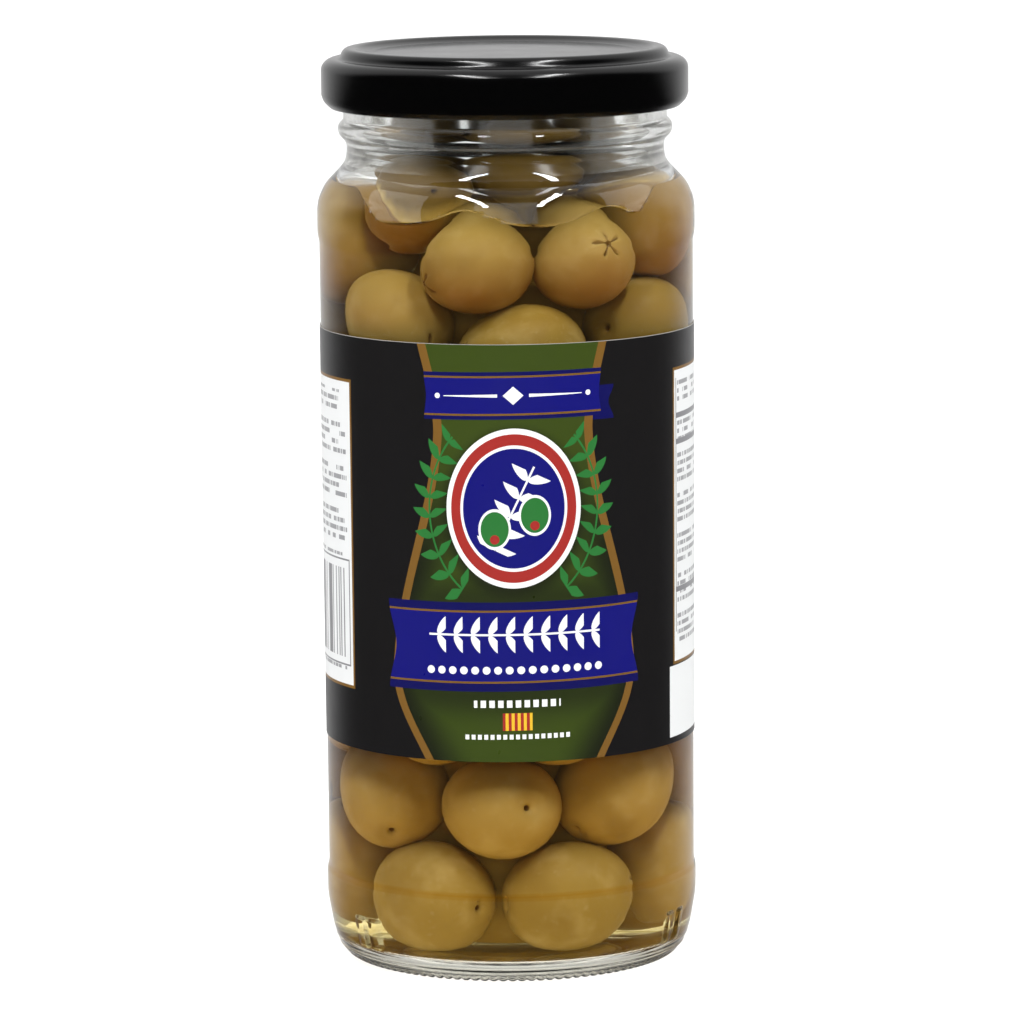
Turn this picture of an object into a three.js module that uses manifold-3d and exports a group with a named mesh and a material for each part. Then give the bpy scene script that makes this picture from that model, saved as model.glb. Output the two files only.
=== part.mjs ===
// A jar of pitted green olives: a clear glass jar, its twist-off lid, a wrap-round label and the olives.
// Millimetres, +Z up. The jar stands on z = 0 with its axis on Z, and the label's middle faces -Y.
import * as THREE from "three";
import { mergeVertices } from "three/addons/utils/BufferGeometryUtils.js";
import Module from "manifold-3d";

// Driving dimensions, in millimetres
const LID_DIAMETER = 61.2; // a 58 mm twist-off cap, measured over its skirt
const LID_HEIGHT = 9.9;
const TOTAL_HEIGHT = 153;
const BODY_DIAMETER = 63.1; // over the ring at the shoulder, which guards the label
const HEEL_DIAMETER = 62.5; // over the ring above the heel
const PANEL_RECESS = 0.3; // how far the label's panel lies inside those rings
const NECK_DIAMETER = 53;
const BEAD_DIAMETER = 55.8; // the ring of glass under the lid
const WALL = 2.4;
const BASE_THICKNESS = 4.2;
const LABEL_BOTTOM = 37.7;
const LABEL_TOP = 106.8;
const LABEL_THICKNESS = 0.12;
const FIT_GAP = 0.3; // clearance between the lid and the glass, and between the olives and the glass
const LABEL_GAP = 0.04;
const OLIVE_LENGTH = 19.8;
const OLIVE_WIDTH = 17;

// Heights of the jar's stations above the table
const HEEL_RING_Z = [10.6, 14.2];
const PANEL_Z = [15.8, 120.6];
const SHOULDER_RING_Z = [122.4, 125.6];
const NECK_Z = 136.2;
const BEAD_Z = 139.5;
const FINISH_Z = 141.2; // top of the bead, where the plain neck inside the lid starts
const LID_BOTTOM = TOTAL_HEIGHT - LID_HEIGHT;
const LID_PANEL_Z = TOTAL_HEIGHT - 0.8;
const LID_WALL = 0.5;
const RIM_Z = LID_PANEL_Z - LID_WALL - FIT_GAP; // the glass rim, just under the lid's panel

// Radii that follow from the diameters
const SHOULDER_RADIUS = BODY_DIAMETER / 2;
const HEEL_RADIUS = HEEL_DIAMETER / 2;
const PANEL_RADIUS = [HEEL_RADIUS - PANEL_RECESS, SHOULDER_RADIUS - PANEL_RECESS];
const NECK_RADIUS = NECK_DIAMETER / 2;
const BEAD_RADIUS = BEAD_DIAMETER / 2;
const FINISH_RADIUS = NECK_RADIUS + 0.5;
const LID_RADIUS = LID_DIAMETER / 2;
const FOOT_RADIUS = [24.6, 27.6]; // the flat ring that the jar stands on
const PUNT_HEIGHT = 2.2; // hollow under the middle of the base

const ROUND_SEGMENTS = 48;

const wasm = await Module();
wasm.setup();

// Points of a curve through the given [radius, height] pairs, without its last point.
function smoothStretch(pairs, steps) {
  const curve = new THREE.SplineCurve(pairs.map(([r, z]) => new THREE.Vector2(r, z)));
  return curve.getPoints(steps).slice(0, -1);
}

// A quarter of an ellipse from one [radius, height] to another, without its last point.
// It leaves the first upright or flat and meets the second the other way.
function quarterRound([r0, z0], [r1, z1], steps, leavesUpright) {
  const points = [];
  for (let i = 0; i < steps; i++) {
    const angle = ((i / steps) * Math.PI) / 2;
    const across = leavesUpright ? 1 - Math.cos(angle) : Math.sin(angle);
    const along = leavesUpright ? Math.sin(angle) : 1 - Math.cos(angle);
    points.push(new THREE.Vector2(r0 + (r1 - r0) * across, z0 + (z1 - z0) * along));
  }
  return points;
}

const at = (radius, height) => new THREE.Vector2(radius, height);

// A solid of revolution about Z from [radius, height] points.
function revolve(points) {
  return new THREE.LatheGeometry(points, ROUND_SEGMENTS).rotateX(Math.PI / 2);
}

// Radius of the label's panel at a height: the panel draws in a little towards the heel.
function panelRadius(z) {
  return THREE.MathUtils.mapLinear(z, PANEL_Z[0], PANEL_Z[1], PANEL_RADIUS[0], PANEL_RADIUS[1]);
}

// Inside of the glass, from the middle of the floor up to the mouth.
function jarInside() {
  const floorEdge = [PANEL_RADIUS[0] - WALL - 6, BASE_THICKNESS];
  const wallFoot = [HEEL_RADIUS - WALL - 0.3, BASE_THICKNESS + 6.5];
  const shoulder = [SHOULDER_RADIUS - WALL, SHOULDER_RING_Z[1]];
  const neck = [NECK_RADIUS - WALL, NECK_Z - 1];
  return [
    at(0, BASE_THICKNESS + 1),
    at(floorEdge[0] * 0.6, BASE_THICKNESS + 0.65),
    ...quarterRound(floorEdge, wallFoot, 4, false),
    at(...wallFoot),
    at(panelRadius(PANEL_Z[1]) - WALL, PANEL_Z[1]),
    ...smoothStretch([shoulder, [28.2, 130], [25.5, 133.2], neck], 5),
    at(...neck),
    at(NECK_RADIUS - WALL, RIM_Z - 0.6),
    at(NECK_RADIUS - WALL + 0.6, RIM_Z),
  ];
}

// Outside of the glass, from the mouth down to the middle of the base.
function jarOutside() {
  const ringTop = [SHOULDER_RADIUS, SHOULDER_RING_Z[1]];
  const heelTop = [HEEL_RADIUS, HEEL_RING_Z[0]];
  return [
    at(FINISH_RADIUS - 0.7, RIM_Z),
    at(FINISH_RADIUS, RIM_Z - 0.7),
    at(FINISH_RADIUS, FINISH_Z),
    at(BEAD_RADIUS - 0.25, FINISH_Z - 0.7),
    at(BEAD_RADIUS, BEAD_Z),
    at(BEAD_RADIUS - 0.35, BEAD_Z - 1),
    at(NECK_RADIUS + 0.25, BEAD_Z - 1.8),
    ...smoothStretch([[NECK_RADIUS, NECK_Z], [26.7, 134.2], [28.6, 132], [30.4, 129.8], ringTop], 8),
    at(...ringTop),
    at(SHOULDER_RADIUS, SHOULDER_RING_Z[0]),
    at(PANEL_RADIUS[1], PANEL_Z[1]),
    at(PANEL_RADIUS[0], PANEL_Z[0]),
    at(HEEL_RADIUS, HEEL_RING_Z[1]),
    ...smoothStretch([heelTop, [30.3, 4.5], [29.1, 1.6], [FOOT_RADIUS[1], 0]], 7),
    at(FOOT_RADIUS[1], 0),
    at(FOOT_RADIUS[0], 0),
    at(FOOT_RADIUS[0] - 1.2, 0.7),
    at(FOOT_RADIUS[0] * 0.55, PUNT_HEIGHT * 0.8),
    at(0, PUNT_HEIGHT),
  ];
}

// The jar: one wall of glass with a thick base, open at the mouth.
function glassJar() {
  return revolve([...jarOutside().reverse(), ...jarInside().reverse()]);
}

// The lid, pressed from sheet: a skirt with a rolled edge, a rounded corner, a raised ring and a sunk panel.
function twistOffLid() {
  const corner = [LID_RADIUS, TOTAL_HEIGHT - 3.6];
  const ledge = [LID_RADIUS - 2.3, TOTAL_HEIGHT - 1.7];
  const ringOuter = ledge[0] - 0.8;
  const ringCrest = ringOuter - 1.6;
  const panelEdge = ringCrest - 2.6;
  const outside = [
    at(LID_RADIUS - 1.2, LID_BOTTOM),
    at(LID_RADIUS - 0.35, LID_BOTTOM + 0.25),
    at(LID_RADIUS, LID_BOTTOM + 1),
    ...quarterRound(corner, ledge, 4, true),
    at(...ledge),
    at(ringOuter, TOTAL_HEIGHT - 1.5),
    at(ringOuter - 0.5, TOTAL_HEIGHT - 0.5),
    at(ringCrest, TOTAL_HEIGHT),
    at(ringCrest - 1.2, TOTAL_HEIGHT - 0.15),
    at(panelEdge, LID_PANEL_Z),
    at(0, LID_PANEL_Z),
  ];
  const inside = [
    at(0, LID_PANEL_Z - LID_WALL),
    at(panelEdge + 0.1, LID_PANEL_Z - LID_WALL),
    at(ringCrest, TOTAL_HEIGHT - LID_WALL - 0.1),
    at(ringOuter - 1, TOTAL_HEIGHT - LID_WALL - 0.5),
    at(ringOuter - 0.5, TOTAL_HEIGHT - 1.5 - LID_WALL),
    at(ledge[0], ledge[1] - LID_WALL),
    at(LID_RADIUS - LID_WALL, corner[1]),
    at(LID_RADIUS - LID_WALL, LID_BOTTOM + 2.2),
    at(LID_RADIUS - 2, LID_BOTTOM + 1.6),
    at(LID_RADIUS - 2.2, LID_BOTTOM + 0.6),
  ];
  return revolve([...outside, ...inside, outside[0]]);
}

// The label: a band of paper right round the panel.
function wrapRoundLabel() {
  const inner = [LABEL_BOTTOM, LABEL_TOP].map((z) => at(panelRadius(z) + LABEL_GAP, z));
  const outer = inner.map((p) => at(p.x + LABEL_THICKNESS, p.y));
  return revolve([inner[0], outer[0], outer[1], inner[1], inner[0]]);
}

// The olives stand in courses of six round the glass, each course turned against the one below.
const COURSES = 8;
const OLIVES_A_COURSE = 6;
const FIRST_COURSE_Z = 13;
const COURSE_RISE = 15.3;
const FIRST_ANGLE = 24.5; // degrees round from the front, to the right
const COURSE_TURN = 27.2;
const SEED = 20;
const USUAL_SIZE = 0.96;
const SPREAD = { angle: 4, lift: 1.2, size: 0.05, roll: 60, lean: 35 };

// What the front of the jar shows of single olives: their course and place in it, how far they stand
// off the pattern (degrees round the glass, millimetres up), how their long axis lies and their size.
// Roll is 0 lying flat and 90 upright. Lean is 90 where an end points out at the glass.
const SEEN_AT_THE_FRONT = [
  { course: 0, place: 0, angle: 1, lift: 0.2, roll: 8, lean: 8, size: 1.03 },
  { course: 0, place: 5, angle: -1.5, lift: 0, roll: -6, lean: 10, size: 1 },
  { course: 1, place: 0, angle: -1, lift: 1.5, roll: 38, lean: 5, size: 1 },
  { course: 1, place: 4, angle: 6, lift: 0.5, roll: -40, lean: 40, size: 0.95 },
  { course: 1, place: 5, angle: 3.5, lift: -0.2, roll: 15, lean: 68, size: 1 },
  { course: 2, place: 4, angle: 0, lift: 1, roll: 10, lean: 15, size: 0.95 },
  { course: 2, place: 5, angle: 2.5, lift: 1, roll: -10, lean: 10, size: 0.95 },
  { course: 6, place: 2, angle: 0, lift: 6, roll: -30, lean: 8, size: 0.97 },
  { course: 6, place: 3, angle: -1, lift: 1, roll: 178, lean: 6, size: 1.02 },
  { course: 6, place: 4, angle: 0.5, lift: 6, roll: -5, lean: 8, size: 0.97 },
  { course: 7, place: 1, angle: -18, lift: 1, roll: 60, lean: 10, size: 0.95 },
  { course: 7, place: 2, angle: 10.5, lift: -0.3, roll: -112, lean: 28, size: 0.97 },
  { course: 7, place: 3, angle: -2, lift: 0.2, roll: 30, lean: 54, size: 0.93 },
  { course: 7, place: 4, angle: -5, lift: 4, roll: 30, lean: 10, size: 0.95 },
];
const ON_TOP = [
  { angle: -48, z: 127, roll: 5, lean: 30, size: 0.93 },
  { angle: 4, z: 130, roll: 3, lean: 0, size: 1, fromAxis: 6 },
];

// Evenly spread numbers from 0 to 1, the same on every run.
function seededDraws(seed) {
  let state = seed;
  return () => {
    state = (1664525 * state + 1013904223) % 4294967296;
    return state / 4294967296;
  };
}

// Inside of the glass as the olives meet it: its radius at a height, and the floor's height at a radius.
const INSIDE = jarInside();
const FLOOR_EDGE = INSIDE.reduce((lowest, p) => (p.y < lowest.y ? p : lowest));
const INSIDE_WALL = INSIDE.slice(INSIDE.indexOf(FLOOR_EDGE));

function insideRadius(z) {
  const above = INSIDE_WALL.findIndex((p) => p.y >= z);
  if (above < 1) return INSIDE_WALL.at(above).x;
  const [low, high] = INSIDE_WALL.slice(above - 1, above + 1);
  return THREE.MathUtils.mapLinear(z, low.y, high.y, low.x, high.x);
}

function floorHeight(radius) {
  const outward = Math.min(radius / FLOOR_EDGE.x, 1);
  return THREE.MathUtils.lerp(INSIDE[0].y, FLOOR_EDGE.y, outward);
}

// One olive as the pattern has it: its centre, its long axis and half its length and width.
// One that is seen holds its place when an unseen neighbour pushes.
function patternOlive({ angle, z, roll, lean, size, fromAxis }, seen) {
  const [turn, rolled, leaned] = [angle, roll, lean].map(THREE.MathUtils.degToRad);
  const outward = new THREE.Vector3(Math.sin(turn), -Math.cos(turn), 0);
  const axis = new THREE.Vector3(Math.cos(turn), Math.sin(turn), 0);
  axis.multiplyScalar(Math.cos(rolled)).setZ(Math.sin(rolled));
  axis.multiplyScalar(Math.cos(leaned)).addScaledVector(outward, Math.sin(leaned));
  const olive = { axis, seen, half: [(size * OLIVE_LENGTH) / 2, (size * OLIVE_WIDTH) / 2] };
  const radius = fromAxis ?? insideRadius(z) - FIT_GAP - olive.half[1];
  olive.centre = outward.multiplyScalar(radius).setZ(z);
  return olive;
}

// Distance from an olive's centre to its skin along a direction.
function skinDistance({ axis, half: [long, wide] }, direction) {
  const along = axis.dot(direction);
  return 1 / Math.sqrt((along / long) ** 2 + (1 - along ** 2) / wide ** 2);
}

// The point of an olive's skin that lies furthest along a direction.
function furthestPoint({ centre, axis, half: [long, wide] }, direction) {
  const along = axis.dot(direction);
  const reach = direction.clone().multiplyScalar(wide ** 2);
  reach.addScaledVector(axis, along * (long ** 2 - wide ** 2));
  return reach.divideScalar(Math.sqrt(reach.dot(direction))).add(centre);
}

// The whole pattern, before the olives push each other apart.
function oliveCourses() {
  const draw = seededDraws(SEED);
  const either = (spread) => (2 * draw() - 1) * spread;
  const olives = [];
  for (let course = 0; course < COURSES; course++)
    for (let place = 0; place < OLIVES_A_COURSE; place++) {
      const drawn = Object.fromEntries(Object.entries(SPREAD).map(([key, spread]) => [key, either(spread)]));
      drawn.size += USUAL_SIZE;
      const seen = SEEN_AT_THE_FRONT.find((o) => o.course === course && o.place === place);
      const { angle, lift, ...rest } = seen ?? drawn;
      const pattern = FIRST_ANGLE + course * COURSE_TURN + (place * 360) / OLIVES_A_COURSE;
      const z = FIRST_COURSE_Z + course * COURSE_RISE + lift;
      olives.push(patternOlive({ angle: pattern + angle, z, ...rest }, seen !== undefined));
    }
  return olives.concat(ON_TOP.map((olive) => patternOlive(olive, true)));
}

// Lets the olives push each other and the glass until they only touch.
const PUSH_PASSES = 60;

function pushApart(olives) {
  const between = new THREE.Vector3();
  for (let pass = 0; pass < PUSH_PASSES; pass++) {
    for (const [i, one] of olives.entries())
      for (const other of olives.slice(i + 1)) {
        between.subVectors(other.centre, one.centre);
        const apart = between.length();
        if (apart > OLIVE_LENGTH * 1.1) continue;
        between.divideScalar(apart);
        const overlap = skinDistance(one, between) + skinDistance(other, between) - apart;
        if (overlap <= 0) continue;
        const share = one.seen === other.seen ? 0.5 : Number(other.seen);
        one.centre.addScaledVector(between, -overlap * share);
        other.centre.addScaledVector(between, overlap * (1 - share));
      }
    olives.forEach(keepInsideGlass);
  }
  return olives;
}

// Moves an olive in from the wall and up from the floor by as much as it reaches past either.
function keepInsideGlass(olive) {
  const { centre } = olive;
  const fromAxis = Math.hypot(centre.x, centre.y);
  const outward = new THREE.Vector3(centre.x / fromAxis, centre.y / fromAxis, 0);
  let [past, under] = [0, 0];
  for (let elevation = -90; elevation <= 90; elevation += 15) {
    const up = THREE.MathUtils.degToRad(elevation);
    const direction = outward.clone().multiplyScalar(Math.cos(up)).setZ(Math.sin(up));
    const point = furthestPoint(olive, direction);
    const radius = Math.hypot(point.x, point.y);
    past = Math.max(past, radius - insideRadius(point.z) + FIT_GAP);
    under = Math.max(under, floorHeight(radius) + FIT_GAP - point.z);
  }
  centre.addScaledVector(outward, -Math.min(past, fromAxis / 2));
  centre.z += under;
}

// A geometry as a solid that can be joined or cut.
function solidOf(geometry) {
  const bare = geometry.clone();
  bare.deleteAttribute("normal");
  bare.deleteAttribute("uv");
  const merged = mergeVertices(bare, 1e-4);
  const vertProperties = merged.attributes.position.array;
  const triVerts = new Uint32Array(merged.index.array);
  return new wasm.Manifold(new wasm.Mesh({ numProp: 3, vertProperties, triVerts }));
}

function geometryOf(solid) {
  const mesh = solid.getMesh();
  const geometry = new THREE.BufferGeometry();
  geometry.setAttribute("position", new THREE.BufferAttribute(mesh.vertProperties, 3));
  geometry.setIndex(new THREE.BufferAttribute(mesh.triVerts, 1));
  geometry.computeVertexNormals();
  return geometry;
}

// The heap of olives: a core up the middle with the olives that lie against the glass fused on.
const OLIVE_SIDES = 8;
const OLIVE_RINGS = 6;
const CORE_RADIUS = 14.5;
const CORE_BOTTOM = INSIDE[0].y + FIT_GAP;
const CORE_TOP = 126;

function oliveSolid(olive) {
  const upright = new THREE.Vector3(0, 1, 0);
  const placed = new THREE.Matrix4().compose(
    olive.centre,
    new THREE.Quaternion().setFromUnitVectors(upright, olive.axis),
    new THREE.Vector3(olive.half[1], olive.half[0], olive.half[1]),
  );
  return solidOf(new THREE.SphereGeometry(1, OLIVE_SIDES, OLIVE_RINGS).applyMatrix4(placed));
}

function oliveHeap() {
  const core = revolve([
    at(0, CORE_BOTTOM),
    at(CORE_RADIUS - 2, CORE_BOTTOM),
    at(CORE_RADIUS, CORE_BOTTOM + 2),
    at(CORE_RADIUS, CORE_TOP - 4),
    at(CORE_RADIUS - 4, CORE_TOP),
    at(0, CORE_TOP),
  ]);
  const olives = pushApart(oliveCourses());
  const fused = olives.reduce((heap, olive) => heap.add(oliveSolid(olive)), solidOf(core));
  // The largest shell is the heap. The others are hollows that fusing sealed.
  const shells = fused.decompose().sort((a, b) => b.volume() - a.volume());
  return geometryOf(shells[0]);
}

const MATERIALS = {
  glass: new THREE.MeshStandardMaterial({
    color: 0xeef2ec, roughness: 0.03, metalness: 0, transparent: true, opacity: 0.3,
  }),
  lid: new THREE.MeshStandardMaterial({ color: 0x0a0a0b, roughness: 0.18, metalness: 0.2 }),
  label: new THREE.MeshStandardMaterial({ color: 0x1b1919, roughness: 0.5, metalness: 0 }),
  olives: new THREE.MeshStandardMaterial({ color: 0xa5843f, roughness: 0.45, metalness: 0 }),
};

function piece(name, geometry, material) {
  const mesh = new THREE.Mesh(geometry, material);
  mesh.name = name;
  return mesh;
}

const jarOfOlives = new THREE.Group();
jarOfOlives.add(
  piece("jar", glassJar(), MATERIALS.glass),
  piece("lid", twistOffLid(), MATERIALS.lid),
  piece("label", wrapRoundLabel(), MATERIALS.label),
  piece("olives", oliveHeap(), MATERIALS.olives),
);

export default jarOfOlives;
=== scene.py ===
# %% [markdown]
# # A jar of pitted green olives
# The solids of the jar, its lid, its label and its olives come from a CAD model. This lesson keeps their
# sizes and gives each one the finish of the real thing: clear glass, black enamel, printed paper and
# olives in brine. Lengths are in millimetres until a mesh is made, because the pieces are small, and
# Blender's metres come in through one factor.

# %% Load the solids and measure them
import math

import bpy
import numpy as np
from mathutils import Matrix, Vector


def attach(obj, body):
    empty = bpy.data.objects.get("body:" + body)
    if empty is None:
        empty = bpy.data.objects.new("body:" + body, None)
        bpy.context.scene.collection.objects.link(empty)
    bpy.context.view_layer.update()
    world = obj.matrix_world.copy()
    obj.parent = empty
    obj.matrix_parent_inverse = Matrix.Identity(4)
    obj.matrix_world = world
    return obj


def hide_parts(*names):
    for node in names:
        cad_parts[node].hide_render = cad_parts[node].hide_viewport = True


MM = 0.001
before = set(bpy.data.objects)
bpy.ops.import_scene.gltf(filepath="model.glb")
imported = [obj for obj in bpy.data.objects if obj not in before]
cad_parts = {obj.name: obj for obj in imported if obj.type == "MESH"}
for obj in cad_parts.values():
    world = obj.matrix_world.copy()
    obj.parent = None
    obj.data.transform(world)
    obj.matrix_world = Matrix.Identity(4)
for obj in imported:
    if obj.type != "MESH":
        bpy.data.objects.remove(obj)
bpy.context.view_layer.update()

# %% [markdown]
# ## Turned shapes
# A jar, a lid and a label are round, so each is one outline swept round the upright axis. By hand one
# starts with a single vertex, extrudes it from point to point and spins the line. That is quicker to
# shape than a cylinder that is cut and bevelled, and the outline can be checked against the photo's
# silhouette.


# %% Outlines: straight runs and smooth curves
def curve_through(points, steps):
    """A smooth curve through (radius, height) points, steps of it between each two."""
    ends = [points[0], *points, points[-1]]
    curve = []
    for before, start, stop, after in zip(ends, ends[1:], ends[2:], ends[3:]):
        before, start, stop, after = map(np.array, (before, start, stop, after))
        leave, arrive = (stop - before) / 2, (after - start) / 2
        for t in np.arange(steps) / steps:
            swing = leave * (t - 2 * t**2 + t**3) + arrive * (t**3 - t**2)
            curve.append(start + (stop - start) * (3 * t**2 - 2 * t**3) + swing)
    return [tuple(p) for p in curve] + [points[-1]]


def quarter_round(start, stop, steps, upright_first):
    """A quarter of an ellipse between two (radius, height) points."""
    curve = []
    for turn in np.linspace(0, math.pi / 2, steps + 1):
        bend, run = 1 - math.cos(turn), math.sin(turn)
        across, up = (bend, run) if upright_first else (run, bend)
        curve.append((start[0] + (stop[0] - start[0]) * across, start[1] + (stop[1] - start[1]) * up))
    return curve


# %% Spin an outline into a piece
def turned_piece(name, outline, steps, sharp_above=40):
    """Extrudes one vertex along the outline, spins it round Z and closes the seam and the poles."""
    bpy.ops.object.select_all(action="DESELECT")
    bpy.ops.mesh.primitive_plane_add(size=MM)
    piece = bpy.context.object
    piece.name = piece.data.name = name
    bpy.ops.object.mode_set(mode="EDIT")
    bpy.ops.mesh.merge(type="CENTER")
    radius, height = outline[0]
    bpy.ops.transform.translate(value=(radius * MM, 0, height * MM))
    for (r0, z0), (r1, z1) in zip(outline, outline[1:]):
        move = {"value": ((r1 - r0) * MM, 0, (z1 - z0) * MM)}
        bpy.ops.mesh.extrude_vertices_move(TRANSFORM_OT_translate=move)
    bpy.ops.mesh.select_all(action="SELECT")
    bpy.ops.mesh.spin(steps=steps, angle=2 * math.pi, center=(0, 0, 0), axis=(0, 0, 1))
    bpy.ops.mesh.select_all(action="SELECT")
    bpy.ops.mesh.remove_doubles(threshold=0.002 * MM)
    bpy.ops.mesh.delete_loose()
    bpy.ops.mesh.select_all(action="SELECT")
    bpy.ops.mesh.normals_make_consistent(inside=False)
    bpy.ops.object.mode_set(mode="OBJECT")
    bpy.ops.object.shade_smooth_by_angle(angle=math.radians(sharp_above))
    print(f"{name}: {len(piece.data.vertices)} vertices, {len(piece.data.polygons)} faces")
    return piece


# %% Take hold of vertices by their place
def grab(piece, wanted):
    """Enters edit mode with those vertices selected whose (x, y, z) in millimetres pass the test."""
    bpy.ops.object.select_all(action="DESELECT")
    piece.select_set(True)
    bpy.context.view_layer.objects.active = piece
    bpy.ops.object.mode_set(mode="EDIT")
    bpy.ops.mesh.select_mode(type="VERT")
    bpy.ops.mesh.select_all(action="DESELECT")
    bpy.ops.object.mode_set(mode="OBJECT")
    chosen = [v for v in piece.data.vertices if wanted(*(v.co / MM))]
    for vertex in chosen:
        vertex.select = True
    bpy.ops.object.mode_set(mode="EDIT")
    return len(chosen)


def let_go():
    bpy.ops.object.mode_set(mode="OBJECT")


# %% [markdown]
# ## The glass jar
# The real jar is blown into a mould, so its outside is crisp and its inside is soft. The outline runs
# down the outside from the mouth to the hollow under the base, and back up the inside. The panel for the
# label is sunk a little between a ring at the shoulder and one above the heel, and the base is thick:
# both bend the light.

# %% The jar's outline
PANEL_FOOT = (30.95, 15.8)
PANEL_TOP = (31.25, 120.6)
WALL = 2.4
RIM_Z = 151.4
FLOOR_MIDDLE = (0, 4.6)
FLOOR_EDGE = (27.2, 3.6)
RIPPLES = (0.2, 3.2)  # between these heights the heel is rippled
RIPPLE = 0.08


def panel_radius(z):
    return np.interp(z, [PANEL_FOOT[1], PANEL_TOP[1]], [PANEL_FOOT[0], PANEL_TOP[0]])


def rippled(curve):
    """Shallow rings round the foot, as the cool mould leaves them."""
    low, high = RIPPLES
    return [(r + RIPPLE * math.sin(4.6 * z) if low < z < high else r, z) for r, z in curve]


def jar_outside():
    rim = curve_through([(24.7, RIM_Z), (25.5, RIM_Z + 0.08), (26.4, RIM_Z - 0.1), (27, RIM_Z - 0.8)], 3)
    bead = [(27, 141.6), (27.1, 141.1), (27.7, 140.4), (27.9, 139.5), (27.6, 138.5)]
    bead += [(26.85, 137.7), (26.5, 136.8)]
    shoulder = [(26.5, 136.2), (26.6, 135.1), (26.9, 134.1), (27.6, 133.1), (28.55, 132.1)]
    shoulder += [(29.6, 131), (30.4, 129.9)]
    ring = [(31.2, 128.1), (31.5, 126.6), (31.55, 125.4), (31.55, 122.8), (31.48, 121.9), (31.3, 121)]
    ring += [PANEL_TOP]
    heel_ring = [PANEL_FOOT, (30.97, 15.5), (31.02, 15.2), (31.13, 14.75), (31.22, 14.3)]
    heel_ring += [(31.26, 13.8), (31.25, 11)]
    heel = [(31.2, 10), (31.05, 8.9), (30.6, 6.3), (30.2, 4.4), (29.6, 2.6), (28.9, 1.2)]
    heel += [(27.9, 0.25), (27.4, 0)]
    punt = [(24.7, 0), (24, 0.25), (22.8, 0.9), (13.5, 1.8), (0, 2.2)]
    return [
        *rim,
        *curve_through(bead, 3),
        *curve_through(shoulder + ring, 3),
        *curve_through(heel_ring, 3),
        *rippled(curve_through(heel, 6)),
        *curve_through(punt, 4),
    ]


def jar_inside():
    foot = (28.75, 6.2)
    waist = (panel_radius(PANEL_TOP[1]) - WALL, PANEL_TOP[1])
    shoulder = [(29.15, 125.6), (28.2, 130), (25.5, 133.2), (24.1, 135.6)]
    return [
        *curve_through([FLOOR_MIDDLE, (13.5, 4.2), FLOOR_EDGE], 4)[:-1],
        *quarter_round(FLOOR_EDGE, foot, 12, False),
        waist,
        *curve_through(shoulder, 5),
        (24.1, RIM_Z - 0.8),
        (24.25, RIM_Z - 0.25),
        (24.7, RIM_Z),
    ]


INSIDE = jar_inside()
print("jar outline:", len(jar_outside()), "points outside and", len(INSIDE), "inside")

# %% Spin the jar and mark its foot
RIDGES = 110  # fine ridges that a mould leaves on the foot ring
RIDGE_DEPTH = 0.28
jar = turned_piece("glass_jar", jar_outside() + INSIDE, 3 * RIDGES)


def on_foot_ridge(x, y, z):
    column = round(math.atan2(y, x) / math.tau * 3 * RIDGES)
    return column % 3 == 0 and 25.2 < math.hypot(x, y) < 28.7 and z < 1.1


count = grab(jar, on_foot_ridge)
bpy.ops.transform.translate(value=(0, 0, RIDGE_DEPTH * MM))
let_go()
print("foot ridges moved:", count, "vertices")

# %% [markdown]
# ## Mould marks on the heel
# Moulded jars carry small raised marks just above the base. Here they are plain upright ticks, drawn out
# of the glass by scaling the vertices of a few columns away from the axis.

# %% Raise the ticks
TICKS = (-54.5, -48, 58.5, 64.5)  # degrees from the front
TICK_HALF_WIDTH = 1.7  # degrees
TICK_SCALE = 1.009


def on_tick(x, y, z):
    angle = math.degrees(math.atan2(x, -y))
    beside = any(abs(angle - tick) < TICK_HALF_WIDTH for tick in TICKS)
    return beside and 4 < z < 9 and math.hypot(x, y) > 29.4


count = grab(jar, on_tick)
bpy.ops.transform.resize(value=(TICK_SCALE, TICK_SCALE, 1), center_override=(0, 0, 0))
let_go()
print("heel ticks raised:", count, "vertices")

# %% [markdown]
# ## The lid
# A twist-off lid is pressed from enamelled sheet: a skirt with a rolled edge, a rounded corner, a raised
# ring and a sunk panel that pops when the vacuum is lost. It is a thin shell, so its outline goes over
# the outside and back along the inside.

# %% The lid's outline
LID_BOTTOM, LID_TOP = 143.1, 153.0
LID_RADIUS = 30.6
SHEET = 0.5


def lid_outline():
    """Radii with heights above the lid's foot, or depths below its top."""
    foot = [(28.7, 0.6), (28.75, 0.12), (29.05, 0), (29.6, 0.45), (30.25, 1.2), (LID_RADIUS, 2.2)]
    ring = [(27.9, 1.68), (27.45, 1.4), (27.05, 0.6), (26.5, 0.12)]
    ring += [(25.7, 0), (24.9, 0.1), (24, 0.5), (23.1, 0.78)]
    panel = [(21.5, 0.8), (21.2, 0.76), (12, 0.72), (0, 0.7)]
    under = [(0, 0.7 + SHEET), (23.4, 0.8 + SHEET), (25.9, 0.6), (26.5, 1), (27, 2), (28.3, 2.2), (30.1, 3.6)]
    inside_foot = [(30.05, 2.4), (29.2, 1.4), (28.7, 0.6)]
    return [
        *curve_through([(r, LID_BOTTOM + rise) for r, rise in foot], 4),
        *quarter_round((LID_RADIUS, LID_TOP - 3.6), (LID_RADIUS - 2.3, LID_TOP - 1.7), 8, True),
        *curve_through([(r, LID_TOP - depth) for r, depth in ring], 4),
        *((r, LID_TOP - depth) for r, depth in panel + under),
        *((r, LID_BOTTOM + rise) for r, rise in inside_foot),
    ]


lid = turned_piece("twist_off_lid", lid_outline(), 160)

# %% [markdown]
# ## The label
# One strip of satin paper goes right round the panel and overlaps itself at the back. The band is turned
# like the rest. At the overlap the outer skin is drawn out by one more thickness of paper, so that the
# seam can be seen and felt.

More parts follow.
